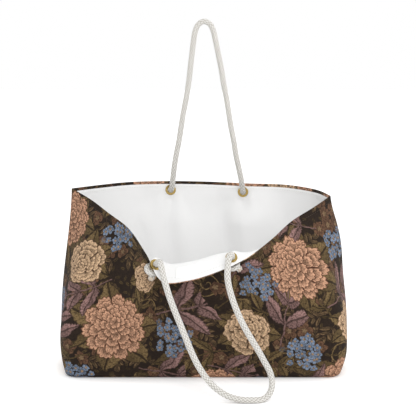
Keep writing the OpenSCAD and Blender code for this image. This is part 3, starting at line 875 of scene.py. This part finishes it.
# Rings of petals: radius, count, turn, depth of the lobes, shift of the centre
PEACH_RINGS = [(1.00, 11, 0.2, 0.20, 0, 0), (0.84, 10, 1.1, 0.20, 0.02, 0.03), (0.67, 9, 0.5, 0.22, 0.03, 0.06),
               (0.50, 8, 1.7, 0.22, 0.04, 0.10), (0.34, 6, 0.8, 0.24, 0.05, 0.13),
               (0.18, 5, 0.1, 0.25, 0.05, 0.15)]
CREAM_RINGS = [(1.00, 5, 0.3, 0.17, 0, 0), (0.82, 5, 1.2, 0.15, 0.03, 0.05), (0.62, 4, 0.4, 0.14, 0.02, 0.10),
               (0.44, 3, 1.5, 0.12, 0.04, 0.12), (0.28, 3, 0.6, 0.12, 0.03, 0.14),
               (0.14, 2, 0.1, 0.15, 0.04, 0.15)]


def placed_sprays(name, places, pitch, reach):
    motif = Motif(name)
    return motif.spray(motif.nearest(motif.x, motif.y, places), pitch, reach)


def strewn_sprays(name, size, grown):
    motif = Motif(name)
    return motif.spray(motif.strewn(size, grown), 0.33, 0.55)


def printed_cloth():
    c = colours()

    def shade(colour, k):
        return rgba([min(1, v * k) for v in colour])

    line, brown, rust = shade(c.ground, 0.55), (0.09, 0.05, 0.03, 1), (0.075, 0.028, 0.017, 1)
    brown_light, brown_dark = (0.21, 0.135, 0.072, 1), (0.075, 0.05, 0.028, 1)
    around = [(x, y, 1.45 * r, a + 20) for x, y, r, a in PEACH_PLACES + CREAM_PLACES]
    # Layers from the ground up: group, light, dark, line and heart colours
    layers = [
        (Motif("Strewn leaves").flecks(0.013, 0.75), shade(c.olive, 0.5), shade(c.olive, 0.25), line, line),
        (strewn_sprays("Brown sprays", 0.043, 0.72), brown_light, brown_dark, line, line),
        (Motif("Tendrils").scrolls(SCROLL_PLACES), shade(c.olive, 1.25), shade(c.olive, 0.5), line, line),
        (Motif("Strewn flowers").small_flowers(STREWN, 0.024, 0.36),
         (0.25, 0.135, 0.08, 1), (0.075, 0.04, 0.025, 1), line, shade(c.cream, 0.35)),
        (placed_sprays("Olive sprays", OLIVE_PLACES, 0.33, 0.52),
         shade(c.olive, 1.2), shade(c.olive, 0.5), line, line),
        (Motif("Leaves round flowers").rosette(around, 7),
         shade(c.olive, 1.1), shade(c.olive, 0.5), line, line),
        (placed_sprays("Mauve sprays", MAUVE_PLACES, 0.36, 0.56),
         shade(c.mauve, 1.15), shade(c.mauve, 0.55), line, line),
        (Motif("Blue clusters").small_flowers(BLUE_PLACES, 0.0122, 1.1),
         shade(c.blue, 1.3), shade(c.blue, 0.6), line, shade(c.cream, 0.6)),
        (Motif("Cream roses").flower(CREAM_PLACES, CREAM_RINGS),
         (0.86, 0.60, 0.385, 1), shade(c.cream, 0.24), brown, brown),
        (Motif("Peach blooms").flower(PEACH_PLACES, PEACH_RINGS),
         (0.80, 0.46, 0.30, 1), shade(c.peach, 0.10), rust, rust),
    ]
    material, t, shader = new_material("printed_cloth")
    uv = t.add("ShaderNodeUVMap", uv_map="cloth").outputs[0]
    parts = t.add("ShaderNodeSeparateXYZ", {0: uv}).outputs
    # The drawing's lines are shaken a little, as by hand
    moved = []
    for k, seed in ((0, 1.7), (1, 6.2)):
        values = {"Vector": uv, "W": seed, "Scale": 38.0, "Detail": 1.5}
        cloud = t.add("ShaderNodeTexNoise", values, noise_dimensions="4D")
        moved.append(t.math("ADD", parts[k], t.math("MULTIPLY_ADD", cloud.outputs["Fac"], 0.014, -0.007)))
    colour = mixed(t, noise(t, uv, 30.0, 3.0), shade(c.ground, 0.75), shade(c.ground, 1.6))
    for group, light, dark, ink, heart in layers:
        node = t.add("ShaderNodeGroup", node_tree=group)
        values = {"Cloth": uv, "X": moved[0], "Y": moved[1], "Under": colour, "Light": light, "Dark": dark,
                  "Line": ink, "Heart": heart}
        for key, value in values.items():
            t.put(node.inputs[key], value)
        colour = node.outputs[0]
    # Fine strokes and broken lines over all of it, as of an engraving
    strokes = Value(t, noise(t, uv, 330.0, 2.0)).ramp(0.52, 0.64)
    lines = abs(Value(t, noise(t, uv, 110.0, 3.0)) - 0.5).ramp(0.028, 0.006)
    colour = mixed(t, (strokes * 0.55).most(lines * 0.6).socket, colour, line)
    grain = noise(t, uv, 900.0, 1.0)
    # The grain of the cloth, and its warm tone
    warm = (0.94, 0.88, 0.83)
    colour = mixed(t, 1.0, colour, mixed(t, grain, shade(warm, 0.78), shade(warm, 1.18)), "MULTIPLY")
    bump, height = weave_bump(t, uv, 0.0011, 0.35, 0.0003)
    t.put(shader.inputs["Base Color"], colour)
    t.put(shader.inputs["Normal"], bump)
    shader.inputs["Roughness"].default_value = 0.82
    shader.inputs["Sheen Weight"].default_value = 0.02
    shader.inputs["Sheen Roughness"].default_value = 0.5
    shader.inputs["Specular IOR Level"].default_value = 0.16
    return material


def lining_cloth():
    c = colours()
    material, t, shader = new_material("lining_cloth")
    uv = t.add("ShaderNodeUVMap", uv_map="cloth").outputs[0]
    bump, height = weave_bump(t, uv, 0.0008, 0.25, 0.0002)
    soft = noise(t, uv, 14.0, 3.0)
    shade = mixed(t, t.math("MULTIPLY", soft, 0.12), rgba(c.lining), rgba([k * 0.82 for k in c.lining]))
    t.put(shader.inputs["Base Color"], shade)
    t.put(shader.inputs["Normal"], bump)
    shader.inputs["Roughness"].default_value = 0.75
    shader.inputs["Sheen Weight"].default_value = 0.08
    return material


def cotton_rope():
    c = colours()
    material, t, shader = new_material("cotton_rope")
    where = t.add("ShaderNodeTexCoord").outputs["Object"]
    strand = t.add("ShaderNodeAttribute", attribute_name="strand").outputs["Fac"]
    fibre = noise(t, where, 1400.0, 2.0)
    # Painted shade: where the strands lie low, in the grooves between them, the rope is darkened toward this
    # colour. The fibre noise also darkens it a little at random.
    groove_shade_and_fibre_tone = rgba([c.rope[0] * 0.54, c.rope[1] * 0.52, c.rope[2] * 0.48])
    shade = mixed(t, Value(t, strand).ramp(0.5, 0.97).socket, groove_shade_and_fibre_tone, rgba(c.rope))
    shade = mixed(t, t.math("MULTIPLY", fibre, 0.1), shade, groove_shade_and_fibre_tone)
    bump = t.add("ShaderNodeBump", {"Height": fibre, "Strength": 0.35, "Distance": 0.0003}).outputs[0]
    t.put(shader.inputs["Base Color"], shade)
    t.put(shader.inputs["Normal"], bump)
    shader.inputs["Roughness"].default_value = 0.85
    shader.inputs["Sheen Weight"].default_value = 0.15
    return material


def cut_fibres():
    material, t, shader = new_material("cut_fibres")
    where = t.add("ShaderNodeTexCoord").outputs["Object"]
    tuft = noise(t, where, 900.0, 2.0)
    t.put(shader.inputs["Base Color"], mixed(t, tuft, (0.42, 0.30, 0.20, 1), (0.74, 0.66, 0.55, 1)))
    bump = t.add("ShaderNodeBump", {"Height": tuft, "Strength": 0.6, "Distance": 0.0005}).outputs[0]
    t.put(shader.inputs["Normal"], bump)
    shader.inputs["Roughness"].default_value = 0.9
    return material


def polished_brass():
    c = colours()
    material, t, shader = new_material("polished_brass")
    where = t.add("ShaderNodeTexCoord").outputs["Object"]
    wear = noise(t, where, 260.0, 3.0)
    t.put(shader.inputs["Base Color"], mixed(t, wear, rgba(c.brass), rgba([k * 0.82 for k in c.brass])))
    t.put(shader.inputs["Roughness"], t.math("MULTIPLY_ADD", wear, 0.16, 0.12))
    shader.inputs["Metallic"].default_value = 1.0
    return material


def label_tape():
    material, t, shader = new_material("label_tape")
    uv = t.add("ShaderNodeUVMap", uv_map="cloth").outputs[0]
    bump, height = weave_bump(t, uv, 0.0005, 0.2, 0.0001)
    tone = mixed(t, noise(t, uv, 60.0, 2.0), (0.90, 0.90, 0.89, 1), (0.86, 0.86, 0.85, 1))
    t.put(shader.inputs["Base Color"], tone)
    t.put(shader.inputs["Normal"], bump)
    shader.inputs["Roughness"].default_value = 0.45
    return material


def sewing_thread(name, colour):
    material, t, shader = new_material(name)
    where = t.add("ShaderNodeTexCoord").outputs["Object"]
    twist = noise(t, where, 1800.0, 1.0)
    t.put(shader.inputs["Base Color"], mixed(t, twist, rgba(colour), rgba([k * 0.75 for k in colour])))
    shader.inputs["Roughness"].default_value = 0.7
    return material


# Operators
class MakeRopes(bpy.types.Operator):
    """Braid the two rope handles from knot to knot."""

    bl_idname = "carpet_bag.ropes"
    bl_label = "Rope handles"

    def execute(self, context):
        s = sizes()
        material = cotton_rope()
        self.fibres = cut_fibres()
        group = braid_tree()
        self.braid = {"Diameter": s.rope_d, "Strands": 6, "Pitch": s.braid_pitch, "Relief": s.braid_relief,
                      "Step": 0.0009, "Material": material}
        for name, side, route in (("front_rope", FRONT, FRONT_ROUTE), ("back_rope", BACK, BACK_ROUTE)):
            cloth = Cloth(side)
            seats = [cloth.seat(k) for k in (LEFT, RIGHT)]
            through = [seats[k][0] + seats[k][1] * 0.006 for k in (LEFT, RIGHT)]
            inside = [seats[k][0] - seats[k][1] * 0.002 for k in (LEFT, RIGHT)]
            points = [through[LEFT], inside[LEFT], *route, inside[RIGHT], through[RIGHT]]
            path = smooth_path(points, 0.002)
            rope = run_tree(path_object(name + "_path", path), group, self.braid, name + "_braid")
            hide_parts(name)
            knots = []
            for k, word in ((LEFT, "left"), (RIGHT, "right")):
                place = f"{name.split('_')[0]}_{word}"
                knots += self.knot(place, seats[k], group)
            if side == BACK:
                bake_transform(rope)
            else:
                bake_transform(rope)
        return {"FINISHED"}

    def knot(self, place, seat, group):
        """One stopper knot: the rope winds round itself outside the washer and its end sticks out."""
        s = sizes()
        centre, out = seat
        way, end, slip = np.array(KNOT_ENDS[place][:3], float), *KNOT_ENDS[place][3:]
        east = unit(way - out * (way @ out))
        north = np.cross(out, east)
        coil = s.knot_d / 2 - s.rope_d / 2 + 0.0012
        last = math.radians(500)
        tail = last + 1.3
        points = [(0, 0, 0.0035), (0.001, 0, 0.0058)]
        for a in np.append(np.radians(np.arange(0, 500, 36)), last):
            points.append((coil * math.cos(a), coil * math.sin(a), 0.0078 + 0.0012 * a))
        x, y, z = points[-1]
        for k in (0.4, 0.7, 1.0):
            points.append((x + math.cos(tail) * k * end, y + math.sin(tail) * k * end, z + 0.0002))
        # The turns are laid so that the end points along east
        c, w = math.cos(tail), math.sin(tail)
        across, up = east * c - north * w, east * w + north * c
        lean = [east * slip * smooth((h - 0.0035) / 0.006) for a, b, h in points]
        path = [centre + across * a + up * b + out * h + k for (a, b, h), k in zip(points, lean)]
        path = smooth_path(path, 0.0012)
        knot = run_tree(path_object("knot_path", path), group, self.braid, f"knot_{place}_turns")
        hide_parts(f"knot_{place}")
        cut = self.cut_end(f"knot_{place}_cut_end", path)
        for obj in (knot, cut):
            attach(obj, "bag")
        return [knot, cut]

    def cut_end(self, name, path):
        """The frayed face of a cut rope: a low dome of short fibres."""
        s = sizes()
        tip, ahead = path[-1], unit(path[-1] - path[-4])
        side = unit(np.cross(ahead, np.array([0.3, 0.5, 0.8])))
        other = np.cross(ahead, side)
        points, faces, ring = [tip + ahead * 0.0011], [], 28
        for radius, lift in ((0.3, 0.0012), (0.62, 0.0009), (0.88, 0.0003), (0.9, -0.0012)):
            for a in np.arange(ring) * 2 * math.pi / ring:
                r = s.rope_d / 2 * radius * (1 + 0.05 * math.sin(7 * a))
                out = ahead * (lift + 0.0003 * math.sin(5 * a))
                points.append(tip + side * r * math.cos(a) + other * r * math.sin(a) + out)
        for i in range(ring):
            j = (i + 1) % ring
            faces.append((0, 1 + i, 1 + j))
            for k in range(3):
                a, b = 1 + k * ring, 1 + (k + 1) * ring
                faces.append((a + i, b + i, b + j, a + j))
        faces.append(tuple(1 + 3 * ring + i for i in reversed(range(ring))))
        return new_object(name, points, faces, None, self.fibres)


class MakeCloth(bpy.types.Operator):
    """Loft the printed panels and the lining, and sew their hems."""

    bl_idname = "carpet_bag.cloth"
    bl_label = "Cloth and lining"

    def execute(self, context):
        s = sizes()
        cloth_print, white = printed_cloth(), lining_cloth()
        stitches = stitch_tree()
        dark = sewing_thread("brown_thread", (0.05, 0.033, 0.022))
        pale = sewing_thread("white_thread", (0.8, 0.79, 0.77))
        for side, word in ((FRONT, "front"), (BACK, "back")):
            cloth = Cloth(side)
            panel = self.panel(cloth, word, cloth_print)
            lining = self.lining(cloth, word, white)
            for obj, node in ((panel, f"{word}_panel"), (lining, f"{word}_lining")):
                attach(obj, "bag")
                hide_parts(node)
            for name, depth, thread in (("outer", -0.0001, dark), ("inner", s.hem_t + 0.0001, pale)):
                self.stitch_row(cloth, f"{word}_hem_stitches_{name}", depth, stitches, thread)
        return {"FINISHED"}

    def panel(self, cloth, word, material):
        s = sizes()
        points, d, uv = cloth.net(np.linspace(0, 1, 241), 6, 131)
        n = cloth.normals(points)
        edge_t = s.hem_t if cloth.side == BACK else s.lip_t
        thick = s.shell_t + (edge_t - s.shell_t) * (1 - smooth((d - s.hem_w) / 0.002))
        inner = points - n * thick[..., None]
        top, top_in = points[:, -1], inner[:, -1]
        rise = unit(points[:, -1] - points[:, -2])
        rim = []
        for a in np.radians([45, 90, 135]):
            middle, half = (top + top_in) / 2, (top - top_in) / 2
            radius = np.linalg.norm(half, axis=-1, keepdims=True)
            rim.append(middle + half * math.cos(a) + rise * radius * math.sin(a))
        rim = np.stack(rim, 1)
        points, inner, rim = (cloth.kept_aside(p) for p in (points, inner, rim))
        return closed_sheet(f"{word}_printed_cloth", points, inner, rim, uv, cloth.side, material)

    def lining(self, cloth, word, material):
        s = sizes()
        points, d, uv = cloth.net(np.linspace(0, 1, 181), 5, 101)
        n = cloth.normals(points)
        # The lining's edge is tucked under the turned hem
        tuck = 0.0002 * (1 - smooth((d - 0.004) / 0.004))
        depth = s.shell_t + s.cloth_gap - tuck + self.slack(cloth, points, d, uv)
        outer = points - n * depth[..., None]
        inner = outer - n * (s.lining_t + 0.0004 * hump(d - s.stitch_inset, 0.003))[..., None]
        rim = ((outer[:, -1] + inner[:, -1]) / 2)[:, None]
        shift = unit(points[:, -1] - points[:, -2])[:, None] * (0.0015 if cloth.side == BACK else 0.0004)
        outer[:, -1:], inner[:, -1:] = outer[:, -1:] - shift, inner[:, -1:] - shift
        rim = rim - shift
        outer, inner, rim = (cloth.kept_aside(p) for p in (outer, inner, rim))
        return closed_sheet(f"{word}_white_lining", outer, inner, rim, uv, cloth.side, material)

    def slack(self, cloth, points, d, uv):
        """How far the loose back lining hangs off the cloth, in soft folds."""
        if cloth.side == FRONT:
            return 0
        x, z = points[..., 0], points[..., 2]
        drop = 0.3 - z
        hang = 17 * hump(x - 0.068 - 0.12 * drop, 0.030)
        hang = hang + 5 * hump(x + 0.055 - 0.2 * drop, 0.022)
        hang = hang + 6 * hump(x + 0.128 - 0.3 * drop, 0.022)
        across = uv[..., 0] / cloth.s.cloth_w
        seams = smooth(np.minimum(across, 1 - across) / 0.1)
        return hang * MM * smooth((d - 0.028) / 0.05) * smooth(z / 0.08) * seams

    def stitch_row(self, cloth, name, depth, group, thread):
        s = sizes()
        u = np.linspace(0.006, 0.994, 400)
        points, d, uv = cloth.net(u, 3, 220)
        n = cloth.normals(points)
        row = np.argmin(np.abs(d - s.stitch_inset), axis=1)
        pick = np.arange(len(u))
        path = points[pick, row] - n[pick, row] * depth
        values = {"Length": s.stitch_l, "Spacing": s.stitch_gap, "Thickness": 0.0007, "Material": thread}
        made = run_tree(path_object(name + "_path", path), group, values, name)
        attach(made, "bag")
        "printed_cloth" if depth < 0 else "lining"
        return made


class MakeLabel(bpy.types.Operator):
    """Sew the bare label on the lining of the front hem."""

    bl_idname = "carpet_bag.label"
    bl_label = "Label"

    def execute(self, context):
        s = sizes()
        cloth = Cloth(FRONT)
        half = 0.018 / s.cloth_w
        u = np.linspace(0.494 - half, 0.494 + half, 25)
        points, d, uv = cloth.net(u, 3, 220)
        n = cloth.normals(points)
        rows = np.flatnonzero((d[12] > 0.0065) & (d[12] < 0.027))
        rows = slice(rows[0], rows[-1] + 1)
        top = s.shell_t + s.cloth_gap + s.lining_t
        under = (points - n * (top + 0.0001))[:, rows]
        over = (points - n * (top + 0.0005))[:, rows]
        rim = ((under[:, -1] + over[:, -1]) / 2)[:, None]
        label = closed_sheet("bare_label", under, over, rim, uv[:, rows], FRONT, label_tape())
        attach(label, "bag")
        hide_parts("care_label")
        return {"FINISHED"}


class DressEyelets(bpy.types.Operator):
    """Give the eyelets and washers their brass."""

    bl_idname = "carpet_bag.eyelets"
    bl_label = "Eyelets and washers"

    def execute(self, context):
        brass = polished_brass()
        for name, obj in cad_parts.items():
            if name.startswith(("eyelet_", "washer_")):
                obj.data.materials.clear()
                obj.data.materials.append(brass)
        return {"FINISHED"}


# Lamps: name, place, aim, diameter and power
LAMPS = [
    ("key_lamp", (0.35, -2.25, 1.3), (0, 0.1, 0.2), 1.0, 20.5),
    ("side_lamp", (2.0, -0.4, 1.2), (0, 0.1, 0.2), 0.8, 7),
    ("top_lamp", (0.0, 0.3, 2.4), (0, 0, 0.1), 1.8, 4),
]
# The photo's camera: place and aim, focal length and sensor in millimetres, shift of the picture
CAMERA_PLACE = (0.0109, -1.9805, 0.5518)
CAMERA_AIM = (0.0109, 0.0, 0.2735)
CAMERA_LENS = (102.4, 36)
CAMERA_SHIFT = (-0.0034, 0.0028)


class MakeStage(bpy.types.Operator):
    """Lay the pale floor and set the light and the camera."""

    bl_idname = "carpet_bag.stage"
    bl_label = "Stage"

    def execute(self, context):
        scene = context.scene
        scene.view_settings.view_transform = "Standard"
        self.floor()
        self.world(scene)
        for name, place, at, size, power in LAMPS:
            self.lamp(name, place, at, size, power)
        camera = bpy.data.cameras.new("photo_camera")
        camera.lens, camera.sensor_width = CAMERA_LENS
        camera.shift_x, camera.shift_y = CAMERA_SHIFT
        obj = bpy.data.objects.new("photo_camera", camera)
        obj.location = CAMERA_PLACE
        self.aim(obj, CAMERA_AIM)
        scene.collection.objects.link(obj)
        scene.camera = obj
        return {"FINISHED"}

    def aim(self, obj, at):
        obj.rotation_euler = (Vector(at) - obj.location).to_track_quat("-Z", "Y").to_euler()

    def lamp(self, name, place, at, size, power):
        light = bpy.data.lights.new(name, "AREA")
        light.shape = "DISK"
        light.size = size
        light.energy = power
        obj = bpy.data.objects.new(name, light)
        obj.location = place
        obj.visible_glossy = False
        self.aim(obj, at)
        bpy.context.scene.collection.objects.link(obj)

    def floor(self):
        material, t, shader = new_material("pale_floor")
        t.put(shader.inputs["Base Color"], (0.98, 0.98, 0.98, 1))
        shader.inputs["Roughness"].default_value = 0.9
        shader.inputs["Specular IOR Level"].default_value = 0.1
        # Painted glow and painted contact shadow: to the camera the floor glows white, and the glow fades where
        # ambient occlusion finds the bag close by, darkening the floor round its base.
        seen = t.add("ShaderNodeLightPath").outputs["Is Camera Ray"]
        t.put(shader.inputs["Emission Color"], (1, 1, 1, 1))
        near = t.add("ShaderNodeAmbientOcclusion", {"Distance": 0.03}, samples=16).outputs["AO"]
        t.put(shader.inputs["Emission Strength"], t.math("MULTIPLY", seen, t.math("MULTIPLY", near, 0.36)))
        half = 12.0
        corners = [(-half, -half, 0), (half, -half, 0), (half, half, 0), (-half, half, 0)]
        floor = new_object("floor", corners, [(0, 1, 2, 3)], None, material)

    def world(self, scene):
        world = bpy.data.worlds.new("studio")
        scene.world = world
        world.use_nodes = True
        world.node_tree.nodes.clear()
        t = Tree(world.node_tree)
        path = t.add("ShaderNodeLightPath").outputs
        mirrored = t.math("MAXIMUM", path["Is Glossy Ray"], path["Is Transmission Ray"])
        seen = t.math("MAXIMUM", path["Is Camera Ray"], mirrored)
        # The background is white to the eye, and fills the scene with a little less light
        fill = 0.86
        strength = t.math("MULTIPLY_ADD", seen, 1.0 - fill, fill)
        sky = t.add("ShaderNodeBackground", {"Color": (1, 1, 1, 1), "Strength": strength})
        end = t.add("ShaderNodeOutputWorld")
        t.tree.links.new(sky.outputs[0], end.inputs[0])


class CarpetBagPanel(bpy.types.Panel):
    """Steps that build the carpet bag."""

    bl_idname = "VIEW3D_PT_carpet_bag"
    bl_label = "Carpet Bag"
    bl_space_type = "VIEW_3D"
    bl_region_type = "UI"
    bl_category = "Carpet Bag"

    def draw(self, context):
        for step in STEPS:
            self.layout.operator(step.bl_idname)
        for group in (sizes(), colours()):
            box = self.layout.box()
            for name in group.__annotations__:
                box.prop(group, name)


STEPS = (MakeRopes, MakeCloth, MakeLabel, DressEyelets, MakeStage)
CLASSES = (BagSizes, BagColours, *STEPS, CarpetBagPanel)


def register():
    for cls in CLASSES:
        bpy.utils.register_class(cls)
    bpy.types.Scene.carpet_bag_sizes = bpy.props.PointerProperty(type=BagSizes)
    bpy.types.Scene.carpet_bag_colours = bpy.props.PointerProperty(type=BagColours)


def unregister():
    del bpy.types.Scene.carpet_bag_colours
    del bpy.types.Scene.carpet_bag_sizes
    for cls in reversed(CLASSES):
        bpy.utils.unregister_class(cls)


def main():
    register()
    bpy.ops.carpet_bag.stage()
    bpy.ops.carpet_bag.ropes()
    bpy.ops.carpet_bag.cloth()
    bpy.ops.carpet_bag.label()
    bpy.ops.carpet_bag.eyelets()


if __name__ == "__main__":
    main()
